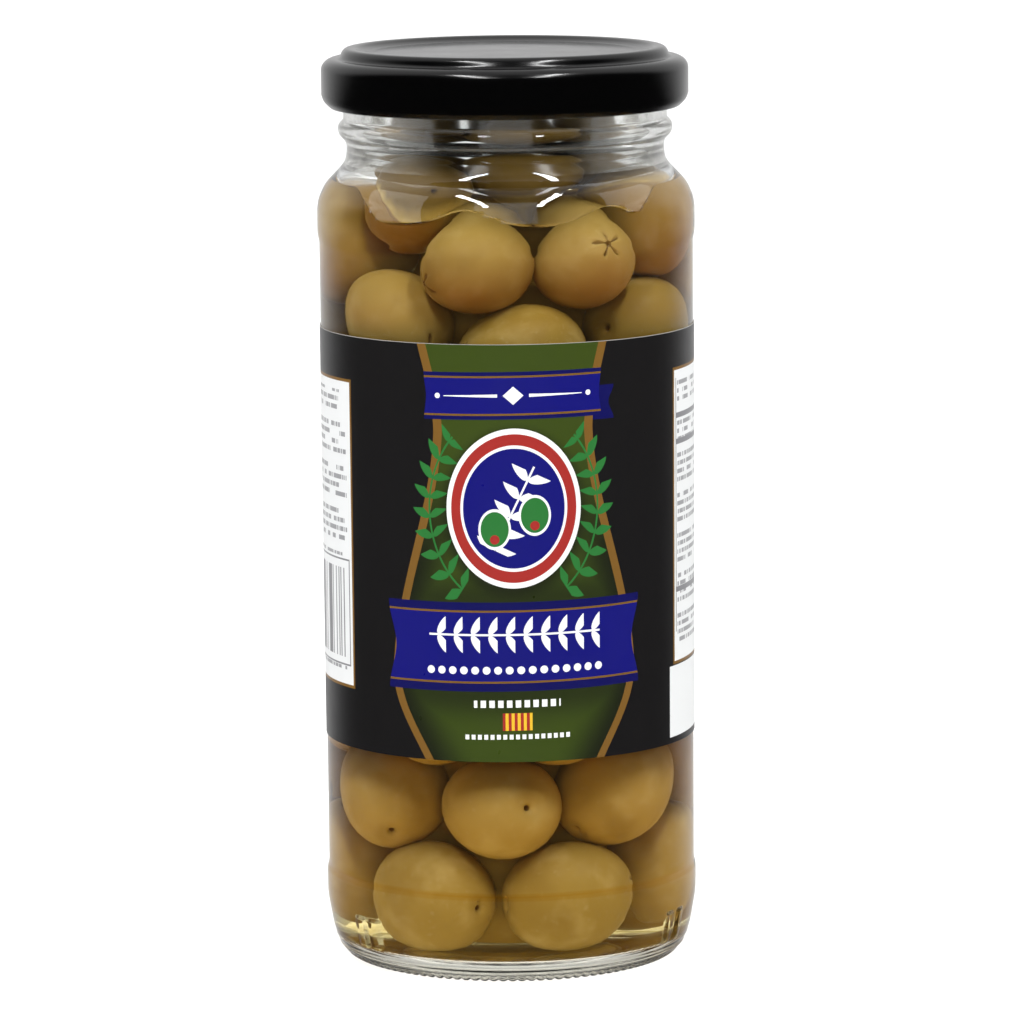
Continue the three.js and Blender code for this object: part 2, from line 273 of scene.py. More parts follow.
# %% The label's band
LABEL_BOTTOM, LABEL_TOP = 37.7, 106.8
PAPER = 0.12
LABEL_GAP = 0.04
OVERLAP = 15  # degrees of paper on paper at the back


def label_outline():
    low, high = (panel_radius(z) + LABEL_GAP for z in (LABEL_BOTTOM, LABEL_TOP))
    heights = np.linspace(LABEL_BOTTOM, LABEL_TOP, 15)
    outer = [(np.interp(z, [LABEL_BOTTOM, LABEL_TOP], [low, high]) + PAPER, z) for z in heights]
    return [(high, LABEL_TOP), (low, LABEL_BOTTOM), *outer, (high, LABEL_TOP)]


label = turned_piece("wrap_label", label_outline(), 180)


def on_overlap(x, y, z):
    angle = math.degrees(math.atan2(x, -y))
    return 180 - OVERLAP < angle < 179 and math.hypot(x, y) > panel_radius(z) + LABEL_GAP + PAPER / 2


count = grab(label, on_overlap)
outward = 1 + PAPER / PANEL_TOP[0]
bpy.ops.transform.resize(value=(outward, outward, 1), center_override=(0, 0, 0))
let_go()
print("overlap at the back:", count, "vertices")

# %% [markdown]
# ## Where the olives lie
# The olives stand in courses of six round the glass, each course turned against the one below, as round
# things settle in a jar. Small seeded draws make them uneven. Those that the photo shows are listed with
# their own place and lie.

# %% The pattern of courses
OLIVE_LENGTH, OLIVE_WIDTH = 19.8, 17.0
COURSES, OLIVES_A_COURSE = 8, 6
FIRST_COURSE_Z, COURSE_RISE = 13, 15.3
FIRST_ANGLE, COURSE_TURN = 24.5, 27.2
SEED = 20
USUAL_SIZE = 0.96
SPREAD = {"angle": 4, "lift": 1.2, "size": 0.05, "roll": 60, "lean": 35}
# (course, place in it): degrees and mm off the pattern, roll and lean of the long axis, size, darkness
SEEN_AT_THE_FRONT = {
    (0, 0): (1, 0.2, 8, 8, 1.03, 0.8),
    (0, 1): (0, 4, 80, 0, 0.98, 0.4),
    (0, 4): (0, 4, 80, 0, 0.98, 0.4),
    (0, 5): (-1.5, 0, 174, -10, 1.02, 0.7),
    (1, 0): (-1, 2.5, 38, 5, 1.06, 0.3),
    (1, 1): (6, 2, 80, 0, 1.02, 0.4),
    (1, 4): (6, 0, 140, -30, 1.03, 0.3),
    (1, 5): (3.5, -0.2, 195, -58, 1, 0.25),
    (2, 4): (8, -1, 10, 15, 0.95, 0.4),
    (2, 5): (0, -1, -10, 10, 0.95, 0.4),
    (6, 1): (-10, 1.5, 70, 0, 0.95, 0.5),
    (6, 2): (0, 6, -30, 8, 0.97, 0.4),
    (6, 3): (-1, -0.5, 178, 6, 1.02, 1),
    (6, 4): (0.5, 4, -5, 8, 0.97, 0.9),
    (6, 5): (-14, 9, 20, 0, 0.96, 0.5),
    (7, 1): (-6, -0.6, 60, -40, 0.97, 0.4),
    (7, 2): (10.5, -1.2, -160, 30, 0.91, 0.4),
    (7, 3): (-2, -2.4, 86, 66, 0.88, 0.2),
    (7, 4): (-16, 5, 80, 5, 0.97, 0.4),
}
FIT_GAP = 0.3
WALL_POINTS = np.array(INSIDE[8:-3])  # the inside from the floor's edge to the mouth


def inside_radius(z):
    return float(np.interp(z, WALL_POINTS[:, 1], WALL_POINTS[:, 0]))


def floor_height(radius):
    return float(np.interp(radius, [0, FLOOR_EDGE[0]], [FLOOR_MIDDLE[1], FLOOR_EDGE[1]]))


# %% One olive
def seeded_draws(state):
    """Evenly spread numbers from 0 to 1, the same on every run."""
    while True:
        state = (1664525 * state + 1013904223) % 4294967296
        yield state / 4294967296


class Olive:
    """An olive's middle, its long axis, half its length and width, and how firmly it holds its place."""

    def __init__(self, angle, z, roll, lean, size, hold, from_axis=None, tone=None):
        turn, rolled, leaned = map(math.radians, (angle, roll, lean))
        outward = Vector((math.sin(turn), -math.cos(turn), 0))
        along, up = math.cos(rolled), math.sin(rolled)
        flat = Vector((math.cos(turn) * along, math.sin(turn) * along, up))
        self.axis = flat * math.cos(leaned) + outward * math.sin(leaned)
        self.long, self.wide = size * OLIVE_LENGTH / 2, size * OLIVE_WIDTH / 2
        radius = inside_radius(z) - FIT_GAP - self.wide if from_axis is None else from_axis
        self.centre = outward * radius + Vector((0, 0, z))
        self.hold = hold
        self.tone = tone

    def skin_distance(self, direction):
        along = self.axis.dot(direction)
        return 1 / math.sqrt((along / self.long) ** 2 + (1 - along**2) / self.wide**2)

    def furthest_point(self, direction):
        along = self.axis.dot(direction)
        reach = direction * self.wide**2 + self.axis * along * (self.long**2 - self.wide**2)
        return self.centre + reach / math.sqrt(reach.dot(direction))


# %% All the olives, before they settle
UNSEEN, SHOWN, PLACED = 1, 2, 3
MIDDLE_RISE = 7.4  # the olives up the middle sit between the courses


def olive_pattern():
    draw = seeded_draws(SEED)
    olives = []
    for course in range(COURSES):
        for place in range(OLIVES_A_COURSE):
            drawn = {key: (2 * next(draw) - 1) * spread for key, spread in SPREAD.items()}
            drawn["size"] += USUAL_SIZE
            usual = *(drawn[key] for key in ("angle", "lift", "roll", "lean", "size")), None
            off, lift, roll, lean, size, tone = SEEN_AT_THE_FRONT.get((course, place), usual)
            angle = FIRST_ANGLE + course * COURSE_TURN + place * 360 / OLIVES_A_COURSE + off
            hold = PLACED if (course, place) in SEEN_AT_THE_FRONT else SHOWN
            z = FIRST_COURSE_Z + course * COURSE_RISE + lift
            olives.append(Olive(angle, z, roll, lean, size, hold, tone=tone))
    olives.append(Olive(-48, 127, 185, -30, 0.93, PLACED))
    olives.append(Olive(16, 133, 3, 0, 1.02, PLACED, from_axis=6))
    for angle, roll in ((-175, 20), (122, 75), (-124, -30)):  # up in the neck, behind those two
        olives.append(Olive(angle, 133.5, roll, 0, 0.9, PLACED, from_axis=16))
    for course in range(COURSES - 1):
        z = FIRST_COURSE_Z + MIDDLE_RISE + course * COURSE_RISE
        angle = 360 * next(draw)
        roll = 90 + 70 * (next(draw) - 0.5)
        olives.append(Olive(angle, z, roll, 0, 0.94, UNSEEN, from_axis=1))
    return olives


# %% [markdown]
# ## Settling the olives
# Blender's rigid bodies could drop the olives into the jar, but then none would end where the photo shows
# it. Here two olives that overlap move apart along the line between them, and one that holds its place
# more firmly makes the other give way.

# %% Let the olives push each other apart
def push(one, other):
    between = other.centre - one.centre
    apart = between.length
    if apart > OLIVE_LENGTH * 1.1:
        return
    between /= apart
    overlap = one.skin_distance(between) + other.skin_distance(between) - apart
    if overlap > 0:
        share = 0.5 if one.hold == other.hold else float(other.hold > one.hold)
        one.centre -= between * overlap * share
        other.centre += between * overlap * (1 - share)


def keep_inside_glass(olive):
    from_axis = math.hypot(olive.centre.x, olive.centre.y)
    outward = Vector((olive.centre.x / from_axis, olive.centre.y / from_axis, 0))
    past = under = 0
    for elevation in range(-90, 91, 15):
        up = math.radians(elevation)
        point = olive.furthest_point(outward * math.cos(up) + Vector((0, 0, math.sin(up))))
        radius = math.hypot(point.x, point.y)
        past = max(past, radius - inside_radius(point.z) + FIT_GAP)
        under = max(under, floor_height(radius) + FIT_GAP - point.z)
    olive.centre -= outward * min(past, from_axis / 2)
    olive.centre.z += under


PASSES = 60
olives = olive_pattern()
for _ in range(PASSES):
    for i, one in enumerate(olives):
        for other in olives[i + 1:]:
            push(one, other)
    for olive in olives:
        keep_inside_glass(olive)
heights = [olive.centre.z for olive in olives]
print(len(olives), "olives have their middles between", min(heights), "and", max(heights), "mm")

# %% [markdown]
# ## One pitted olive
# A pitting machine punches the stone out: it leaves a small round hole at one end and a torn star at the
# other. The olive is turned from an outline that already dips into the hole. The star is cut by pulling a
# few columns of vertices down at the other end. Rings are close together at both ends, where the detail
# is.

# %% Turn the olive
HALF_LENGTH, HALF_WIDTH = OLIVE_LENGTH / 2, OLIVE_WIDTH / 2
COLUMNS = 36


def olive_outline():
    hole = [(0, 2.2), (0.3, 1.9), (0.4, 1.3), (0.55, 0.85), (0.9, 0.55), (1.4, 0.42), (2, 0.43)]
    hole = [(radius, depth - HALF_LENGTH) for radius, depth in hole]
    turns = [-73, -67, *range(-60, 61, 10), 66, 71, 75, 78.5, 81.5, 84.5, 87.3, 90]
    skin = []
    for turn in map(math.radians, turns):
        fullness = 1 + 0.025 * math.cos(2 * turn) * math.cos(turn)
        skin.append((HALF_WIDTH * math.cos(turn) * fullness, HALF_LENGTH * math.sin(turn)))
    return hole + skin


pitted = turned_piece("pitted_olive", olive_outline(), COLUMNS, sharp_above=80)

# %% Cut the star
# degrees round the end, and how far out each slit runs
SLITS = {0: 3.0, 70: 2.5, 140: 3.1, 220: 2.6, 290: 2.9}
SLIT_DEPTH = 1.5
STAR_REACH = 3.6


def in_slit(x, y, z):
    out = math.hypot(x, y)
    if z < 0 or out > STAR_REACH:
        return False
    turned = math.degrees(math.atan2(y, x)) % 360
    return out < 0.2 or any(abs(turned - slit) < 3 and out < reach for slit, reach in SLITS.items())


for nearer in (STAR_REACH, 2.3, 1.4):  # deepest in the middle
    grab(pitted, lambda x, y, z: in_slit(x, y, z) and math.hypot(x, y) < nearer)
    bpy.ops.transform.translate(value=(0, 0, -SLIT_DEPTH / 3 * MM))
    let_go()
print("star cut with", len(SLITS), "slits")

# %% [markdown]
# ## The heap of olives
# The one olive is now copied to every place by arrays, because there are many. Each copy is scaled,
# turned, swollen a little out of round by slow waves, and flattened where it would meet the glass. Two
# attributes go with the points for the paint to read: a tone for each olive, and a mark in the cuts. A
# core behind the olives keeps light from shining through the middle.

# %% Where the cut flesh shows
def mark_of(x, y, z):
    """How much cut flesh shows at a point of the olive: 1 in the hole and the slits, less beside a slit."""
    out, turned = math.hypot(x, y), math.degrees(math.atan2(y, x)) % 360
    if z < 0:
        return 1.0 if out < 0.5 else 0.0
    if out < 0.8 or in_slit(x, y, z + SLIT_DEPTH):
        return 1.0
    beside = any(abs(turned - slit) < 13 and out < reach - 0.4 for slit, reach in SLITS.items())
    return 0.4 if beside else 0.0


shape = np.array([v.co for v in pitted.data.vertices]) / MM
marks = np.array([mark_of(*point) for point in shape])
faces = [tuple(p.vertices) for p in pitted.data.polygons]
print("one olive:", len(shape), "points,", int((marks > 0).sum()), "of them at a cut")

# %% Copy the olive to a place
TOUCH_GAP = 0.12  # between an olive's skin and the glass


def uneven(points, draw):
    """Slow swellings over an olive, different on each."""
    taper = 1 + 0.1 * (next(draw) - 0.5) * points[:, 2] / HALF_LENGTH
    swell = np.ones(len(points))
    for size in (0.018, 0.014, 0.01):
        way = np.array([2 * next(draw) - 1 for _ in range(3)])
        swell += size * np.sin(points @ way * 0.3 + 6.28 * next(draw))
    return points * swell[:, None] * np.stack([taper, taper, np.ones(len(points))], axis=1)


def pressed(points):
    """Flattens an olive where it meets the glass or the floor."""
    radius = np.hypot(points[:, 0], points[:, 1])
    room = np.interp(points[:, 2], WALL_POINTS[:, 1], WALL_POINTS[:, 0]) - TOUCH_GAP
    squeeze = np.minimum(1, room / np.maximum(radius, 0.1))
    floor = np.interp(radius, [0, FLOOR_EDGE[0]], [FLOOR_MIDDLE[1], FLOOR_EDGE[1]]) + TOUCH_GAP
    height = np.maximum(points[:, 2], floor)
    return np.stack([points[:, 0] * squeeze, points[:, 1] * squeeze, height], axis=1)


def olive_points(olive, draw):
    lie = olive.axis.to_track_quat("Z", "Y").to_matrix() @ Matrix.Rotation(6.28 * next(draw), 3, "Z")
    grown = uneven(shape, draw) * (2 * olive.wide / OLIVE_WIDTH)
    return pressed(grown @ np.array(lie).T + np.array(olive.centre))


# %% Join the heap
draw = seeded_draws(7)
points, polygons, tones, cuts = [], [], [], []
for olive in olives:
    start = sum(map(len, points))
    points.append(olive_points(olive, draw))
    polygons += [tuple(start + i for i in face) for face in faces]
    tones += [next(draw) if olive.tone is None else olive.tone] * len(shape)
    cuts += list(marks)
heap_mesh = bpy.data.meshes.new("olive_heap")
heap_mesh.from_pydata(np.concatenate(points) * MM, [], polygons)
for name, values in (("tone", tones), ("cut", cuts)):
    heap_mesh.attributes.new(name, "FLOAT", "POINT").data.foreach_set("value", values)
heap = bpy.data.objects.new("olive_heap", heap_mesh)
bpy.context.collection.objects.link(heap)
bpy.data.objects.remove(pitted)
print("heap:", len(heap_mesh.vertices), "vertices,", len(heap_mesh.polygons), "faces")

# %% Join the core to the heap
core = turned_piece("olive_core", [(0, 5.4), (12, 5.4), (14, 8), (14, 108), (10, 114), (0, 117)], 24)
for name, value in (("tone", 0.5), ("cut", 0.0)):
    values = [value] * len(core.data.vertices)
    core.data.attributes.new(name, "FLOAT", "POINT").data.foreach_set("value", values)
bpy.ops.object.select_all(action="DESELECT")
core.select_set(True)
heap.select_set(True)
bpy.context.view_layer.objects.active = heap
bpy.ops.object.join()
bpy.ops.object.shade_smooth()
print("heap with its core:", len(heap.data.vertices), "vertices")

# %% [markdown]
# ## The brine
# Brine fills the space between the olives up to the shoulder, and at the front a pocket of air has
# stayed. Where liquid meets glass there must be no film of air, so the brine reaches a little way into
# the wall. Its top climbs where it meets the glass and runs over the olives just under it, which is the
# wavy line that the photo shows.

# %% Spin the brine up to its highest level
BRINE_LEVEL = 125.2  # in the air pocket
SIDE_RISE = 5.2  # how much higher the brine stands round the sides
BRINE_HIGHEST = BRINE_LEVEL + SIDE_RISE
SETTLES_ABOVE = 118  # below this the brine only follows the glass
INTO_GLASS = 0.15


def brine_outline():
    bowl = [(r + INTO_GLASS * r / 30, z - INTO_GLASS) for r, z in INSIDE if z <= 10]
    heights = [12, 60, *np.linspace(SETTLES_ABOVE, BRINE_HIGHEST, 9)]
    wall = [(inside_radius(z) + INTO_GLASS, z) for z in heights]
    top = [(r, BRINE_HIGHEST) for r in np.linspace(wall[-1][0], 0, 48)[1:]]
    return bowl + wall + top


brine = turned_piece("brine", brine_outline(), 200, sharp_above=60)

# %% How high the brine stands at a place
POCKET_EDGE = (38, 60)  # degrees from the front between which the brine rises beside the pocket
BACK_EDGE, BACK_DIP = (110, 150), 0.4  # towards the back it sinks again by this share
CLIMB, CLIMB_REACH = 0.8, 2.0  # at the glass, and how far in from it
COVER = 0.9  # brine over an olive that lies just under the level
just_under = [o for o in olives if 0 < o.furthest_point(Vector((0, 0, 1))).z - BRINE_LEVEL < 4]


def soft_step(value, low, high):
    share = min(1, max(0, (value - low) / (high - low)))
    return share * share * (3 - 2 * share)


def cover_over(olive, x, y):
    """How far the brine is drawn up above its level between an olive and the glass in front of it."""
    out = Vector((olive.centre.x, olive.centre.y)).normalized()
    along, aside = x * out.x + y * out.y, x * out.y - y * out.x
    height = olive.furthest_point(Vector((0, 0, 1))).z + COVER - BRINE_LEVEL
    return height * math.exp(-((aside / 5.5) ** 2)) * soft_step(along, 8, 17)


def brine_top(x, y):
    radius, turned = math.hypot(x, y), abs(math.degrees(math.atan2(x, -y)))
    rise = SIDE_RISE * soft_step(turned, *POCKET_EDGE) * soft_step(radius, 10, 24)
    rise *= 1 - BACK_DIP * soft_step(turned, *BACK_EDGE)
    climb = CLIMB * math.exp(-max(0, inside_radius(BRINE_LEVEL) - radius) / CLIMB_REACH)
    return BRINE_LEVEL + max(rise, climb + max(cover_over(olive, x, y) for olive in just_under))


# %% Let the brine settle to that height
def settled(x, y, z):
    """Where a point of the full brine goes: down along the glass, or with the top."""
    out = Vector((x, y)).normalized()
    at_glass = out * inside_radius(BRINE_LEVEL)
    glass_top = min(BRINE_HIGHEST, brine_top(*at_glass))
    if z < BRINE_HIGHEST - 0.01 or math.hypot(x, y) > inside_radius(BRINE_HIGHEST):
        share = (z - SETTLES_ABOVE) / (BRINE_HIGHEST - SETTLES_ABOVE)
        height = SETTLES_ABOVE + share * (glass_top - SETTLES_ABOVE)
        return (*(out * (inside_radius(height) + INTO_GLASS)), height)
    wider = inside_radius(glass_top) / inside_radius(BRINE_HIGHEST)
    return x * wider, y * wider, min(BRINE_HIGHEST, brine_top(x * wider, y * wider))


for vertex in brine.data.vertices:
    if vertex.co.z > (SETTLES_ABOVE + 0.01) * MM:
        vertex.co = Vector(settled(*(vertex.co / MM))) * MM
print("brine is drawn up over", len(just_under), "olives")

# %% [markdown]
# ## Painted shade above the brine
# Olive skin that stands out of the brine lies under the lid, which keeps the light off it. A third
# attribute says how far each point of the heap lies above the brine, so that the paint can darken it there
# with painted shade.

# %% Mark what stands out of the brine
# how far each point stands above the brine, as a mask for painted shade
painted_shade_above_brine = [soft_step(v.co.z / MM - brine_top(v.co.x / MM, v.co.y / MM), 0, 2) for v in heap.data.vertices]
heap.data.attributes.new("painted_shade_above_brine", "FLOAT", "POINT").data.foreach_set("value", painted_shade_above_brine)
print("olive points out of the brine:", sum(share > 0.5 for share in painted_shade_above_brine))

# %% [markdown]
# ## Paint by arithmetic
# Every finish below is worked out from positions and attributes on the piece, so nothing is painted by
# hand. A small class wraps a node's output: arithmetic on it adds Math nodes, & and | join masks, and one
# method adds any other node.


# %% A wire that does arithmetic
def joins(operation):
    """A method that joins two values by one Math node."""
    return lambda self, other: self.math(operation, self, other)


class Wire:
    """One output socket of a node tree."""

    def __init__(self, socket):
        self.socket = socket

    def add(self, kind, settings, inputs, output=0):
        """Adds a node, sets it up, fills or links its inputs, and returns one of its outputs."""
        tree = self.socket.id_data
        node = tree.nodes.new(kind)
        for name, value in settings.items():
            setattr(node, name, value)
        for key, value in inputs.items():
            if isinstance(value, Wire):
                tree.links.new(value.socket, node.inputs[key])
            else:
                node.inputs[key].default_value = value
        return Wire(node.outputs[output])

    def math(self, operation, *values):
        return self.add("ShaderNodeMath", {"operation": operation}, dict(enumerate(values)))

    def __rsub__(self, other):
        return self.math("SUBTRACT", other, self)

    def __abs__(self):
        return self.math("ABSOLUTE", self)

    def __invert__(self):
        return 1 - self

    __add__ = __radd__ = joins("ADD")
    __sub__ = joins("SUBTRACT")
    __mul__ = __rmul__ = __and__ = joins("MULTIPLY")
    __truediv__ = joins("DIVIDE")
    __mod__ = joins("FLOORED_MODULO")
    __pow__ = joins("POWER")
    __lt__ = joins("LESS_THAN")
    __gt__ = joins("GREATER_THAN")
    __or__ = joins("MAXIMUM")


# %% Helpers for masks and colours
def between(value, low, high):
    return (value > low) & (value < high)


def fade(value, low, high):
    """0 below low, 1 above high and a soft step between them. High may be the smaller of the two."""
    settings = {"interpolation_type": "SMOOTHSTEP"}
    return value.add("ShaderNodeMapRange", settings, {0: value, 1: low, 2: high, 3: 0, 4: 1})


def over(below, colour, mask):
    """Lays a colour over another where the mask is 1."""
    return mask.add("ShaderNodeMix", {"data_type": "RGBA"}, {0: mask, 6: below, 7: colour}, 2)


def noise(place, scale, detail=2.0):
    """Soft noise from 0 to 1 with features of about 1/scale metres."""
    return place.add("ShaderNodeTexNoise", {}, {"Vector": place, "Scale": scale, "Detail": detail})


# %% Start a material
def new_finish(name, **settings):
    """A material with its shader's plain values set. Returns it, its shader and Object coordinates."""
    material = bpy.data.materials.new(name)
    material.use_nodes = True
    shader = material.node_tree.nodes["Principled BSDF"]
    for key, value in settings.items():
        shader.inputs[key.replace("_", " ")].default_value = value
    place = Wire(material.node_tree.nodes.new("ShaderNodeTexCoord").outputs["Object"])
    return material, shader, place


def feed(shader, name, wire):
    shader.id_data.links.new(wire.socket, shader.inputs[name])


def bump(shader, height, strength, distance):
    """Feeds a height, in units of the distance in metres, to the shader's normal."""
    sockets = {"Height": height, "Strength": strength, "Distance": distance}
    feed(shader, "Normal", height.add("ShaderNodeBump", {}, sockets))


def rgb(red, green, blue):
    return (red, green, blue, 1)


# %% [markdown]
# ## Glass and brine finishes
# Both are clear, so the bending of light does most of the work. The glass has a faint waviness from the
# mould. Its colour carries a painted yellow line at the step above the heel and a painted yellow tint in
# the foot, which stand in for the brine's colour bent through the glass there. The brine takes blue out
# of the light on its way, and so turns yellow where it is deep, and a weak painted glow stands in for
# light scattered by its cloudiness. Both let lamp light and bounced light through unbent, because light
# that is bent on its way to the olives would be slow to gather.

# %% Glass
RING_STEP = 14.7  # the step above the heel, where a painted line stands in for the brine's bent yellow
# painted light: the line and the foot tint stand in for the brine's yellow bent through the glass
CLEAR_GLASS, PAINTED_REFRACTION_YELLOW, PAINTED_FOOT_YELLOW = rgb(0.97, 0.985, 0.975), rgb(0.93, 0.80, 0.45), rgb(0.95, 0.93, 0.80)


def glass_finish(name, roughness=0.0, **settings):
    settings.update(IOR=1.5, Transmission_Weight=1.0, Roughness=roughness)
    material, shader, place = new_finish(name, **settings)
    height = place.add("ShaderNodeSeparateXYZ", {}, {0: place}, "Z") * 1000
    # painted refraction: a yellow line at the step and a yellow tint in the foot, in the glass's own colour
    step = fade(abs(height - RING_STEP), 0.55, 0.25)
    colour = over(CLEAR_GLASS, PAINTED_REFRACTION_YELLOW, step)
    feed(shader, "Base Color", over(colour, PAINTED_FOOT_YELLOW, fade(height, 4.5, 2)))
    bump(shader, noise(place, 55, 1.0), 0.25, 0.4 * MM)
    return material


# %% [markdown]
# ## Mist in the neck
# Above the brine the inside of the glass is dull with fine drops, most of all at the left and right.
# Modelling drops would cost many triangles, so a thin pale film is mixed into the glass of those faces
# instead, as thick as a noise says.

# %% A film of mist inside the neck
def mist_over(material):
    """Lays a thin pale film over glass, thicker towards the sides, where drops gather."""
    shader = Wire(material.node_tree.nodes["Principled BSDF"].outputs["BSDF"])
    place = Wire(material.node_tree.nodes["Texture Coordinate"].outputs["Object"])
    aside = abs(place.add("ShaderNodeSeparateXYZ", {}, {0: place}, "X")) * 1000
    thickness = fade(aside, 9, 21) * (0.1 + noise(place, 420, 3.0) * 0.26)
    film = place.add("ShaderNodeBsdfDiffuse", {}, {"Color": rgb(0.74, 0.73, 0.68)})
    misted = place.add("ShaderNodeMixShader", {}, {0: thickness, 1: shader, 2: film})
    output = material.node_tree.nodes["Material Output"]
    material.node_tree.links.new(misted.socket, output.inputs["Surface"])
    return material


# %% Brine
NO_MIRROR = rgb(0, 0, 0)  # where brine wets the glass, hardly any light is thrown back


def brine_finish():
    settings = {"IOR": 1.34, "Transmission_Weight": 1.0, "Roughness": 0.0}
    settings.update(Base_Color=rgb(1, 1, 1), Specular_Tint=NO_MIRROR)
    material, shader, place = new_finish("brine", **settings)
    absorb = place.add("ShaderNodeVolumeAbsorption", {}, {"Color": rgb(0.87, 0.70, 0.06), "Density": 30.0})
    # painted glow: a weak emission stands in for light scattered by the cloudy brine
    painted_glow = place.add("ShaderNodeEmission", {}, {"Color": rgb(1, 0.8, 0.5), "Strength": 0.35})
    absorb_and_painted_glow = place.add("ShaderNodeAddShader", {}, {0: absorb, 1: painted_glow})
    output = material.node_tree.nodes["Material Output"]
    material.node_tree.links.new(absorb_and_painted_glow.socket, output.inputs["Volume"])
    return material


# %% Clear, wet and misted glass
MIST_FROM = 133
CLEAR, WET, MISTED = range(3)
jar.data.materials.append(glass_finish("clear_glass"))
jar.data.materials.append(glass_finish("wet_glass", Specular_Tint=NO_MIRROR))
jar.data.materials.append(mist_over(glass_finish("misted_glass", roughness=0.1)))
for face in jar.data.polygons:
    x, y, z = face.center / MM
    faces_in = face.normal.dot(Vector((x, y, 0))) < 0 or (face.normal.z > 0.5 and 4 < z < 10)
    if faces_in and z < brine_top(x, y):
        face.material_index = WET
    elif faces_in and MIST_FROM < z < RIM_Z - 1:
        face.material_index = MISTED
brine.data.materials.append(brine_finish())
for piece in (jar, brine):
    piece.visible_shadow = False
    piece.visible_diffuse = False
print("glass and brine are clear")

# %% [markdown]
# ## Olive skin
# Cured olives are a dull khaki yellow, some darker than others, with faint mottling, pale specks and a
# waxy sheen. The cut flesh in the star and in the hole is brown. Skin that stands out of the brine gets
# painted shade, for the lid keeps the light off it.

# %% Olive
def olive_finish():
    material, shader, place = new_finish("olive_skin", Roughness=0.42, Specular_IOR_Level=0.06)
    tone = place.add("ShaderNodeAttribute", {"attribute_name": "tone"}, {}, "Fac")
    cut = place.add("ShaderNodeAttribute", {"attribute_name": "cut"}, {}, "Fac")
    mottle = noise(place, 160, 3.0)
    colour = over(rgb(0.52, 0.35, 0.095), rgb(0.32, 0.205, 0.038), tone)
    colour = over(colour, rgb(0.60, 0.44, 0.16), fade(mottle, 0.45, 0.75) * 0.45)
    colour = over(colour, rgb(0.26, 0.155, 0.03), fade(noise(place, 90), 0.48, 0.78) * 0.55)
    colour = over(colour, rgb(0.62, 0.50, 0.24), fade(noise(place, 1100), 0.6, 0.75) * 0.12)
    colour = over(colour, rgb(0.17, 0.085, 0.022), fade(cut, 0.1, 0.9) * 0.85)
    # painted shade: skin above the brine is darkened, for the lid keeps the light off it
    painted_shade_above_brine = place.add("ShaderNodeAttribute", {"attribute_name": "painted_shade_above_brine"}, {}, "Fac")
    colour = over(colour, rgb(0.09, 0.05, 0.008), painted_shade_above_brine * 0.9)
    feed(shader, "Base Color", colour)
    bump(shader, noise(place, 1400, 3.0), 0.25, 0.08 * MM)
    return material


heap.data.materials.append(olive_finish())
print("olives painted")

# %% [markdown]
# ## Black enamel
# The lid is glossy black. Baked enamel is never quite flat: a fine ripple breaks up its reflections, and
# handling leaves faint dust.

# %% Enamel
def enamel_finish():
    material, shader, place = new_finish("black_enamel", Roughness=0.16, Specular_IOR_Level=0.4)
    dust = fade(noise(place, 2600, 3.0), 0.66, 0.78)
    feed(shader, "Base Color", over(rgb(0.0006, 0.0006, 0.0007), rgb(0.03, 0.03, 0.03), dust * 0.15))
    feed(shader, "Roughness", 0.14 + noise(place, 120) * 0.08)
    bump(shader, noise(place, 500, 2.0), 0.12, 0.05 * MM)
    return material


lid.data.materials.append(enamel_finish())
print("lid painted")

# %% [markdown]
# ## The label's print
# The print is drawn in millimetres on the unrolled paper: across, from the middle of the front, and up
# from the table. It could be a picture wrapped round the band, but masks worked out from those two
# measures stay sharp at any distance. Each function below lays one part of the print over what is there:
# first a black ground and a green panel with waisted gold edges.

# %% Across and up on the paper
PRINT_MIDDLE = 0.9  # the print's middle sits a little right of the jar's front
PRINT_TILT = 0.0096  # and the paper was put on slightly askew
UPPER_RIBBON, MEDALLION, LOWER_RIBBON = 98.4, 79.8, 56.9  # heights of their middles
INK = {
    "black": rgb(0.0085, 0.0078, 0.0082),
    "green": rgb(0.038, 0.060, 0.006),
    "dark_green": rgb(0.012, 0.015, 0.006),
    "gold": rgb(0.17, 0.083, 0.012),
    "blue": rgb(0.003, 0.003, 0.155),
    "navy": rgb(0.003, 0.003, 0.085),
    "white": rgb(0.80, 0.81, 0.81),
    "panel": rgb(0.70, 0.71, 0.71),
    "grey": rgb(0.19, 0.19, 0.20),
    "red": rgb(0.33, 0.02, 0.015),
    "yellow": rgb(0.75, 0.45, 0.02),
    "leaf": rgb(0.02, 0.16, 0.03),
}


def paper_axes(place):
    """Across and up on the unrolled label, in millimetres."""
    x, y, z = (place.add("ShaderNodeSeparateXYZ", {}, {0: place}, axis) for axis in "XYZ")
    across = x.math("ARCTAN2", x, 0 - y) * PANEL_TOP[0] - PRINT_MIDDLE
    return across, z * 1000 - across * PRINT_TILT


# %% The green panel and its gold edges
def green_panel(paper, across, up):
    """A panel that is waisted under the upper ribbon and swells to the lower one."""
    half = 12.6 + fade(up, 94, 51) * 8.2 + fade(up, 92, 117) * 4.4 - fade(up, 52, 30) * 8.6
    inward = half - abs(across)
    shade = (fade(inward, 9, 0.5) * fade(up, 92, 70)) | (fade(abs(up - LOWER_RIBBON), 14, 8) * 0.7)
    paper = over(paper, over(INK["green"], INK["dark_green"], shade), inward > 0)
    return over(paper, INK["gold"], abs(inward) < 0.75)


# %% [markdown]
# ## Ribbons and ornaments
# Two blue ribbons cross the panel. Where such a label would carry words, they carry plain ornaments: a
# lozenge, a garland of leaves and a row of beads. There is no lettering.

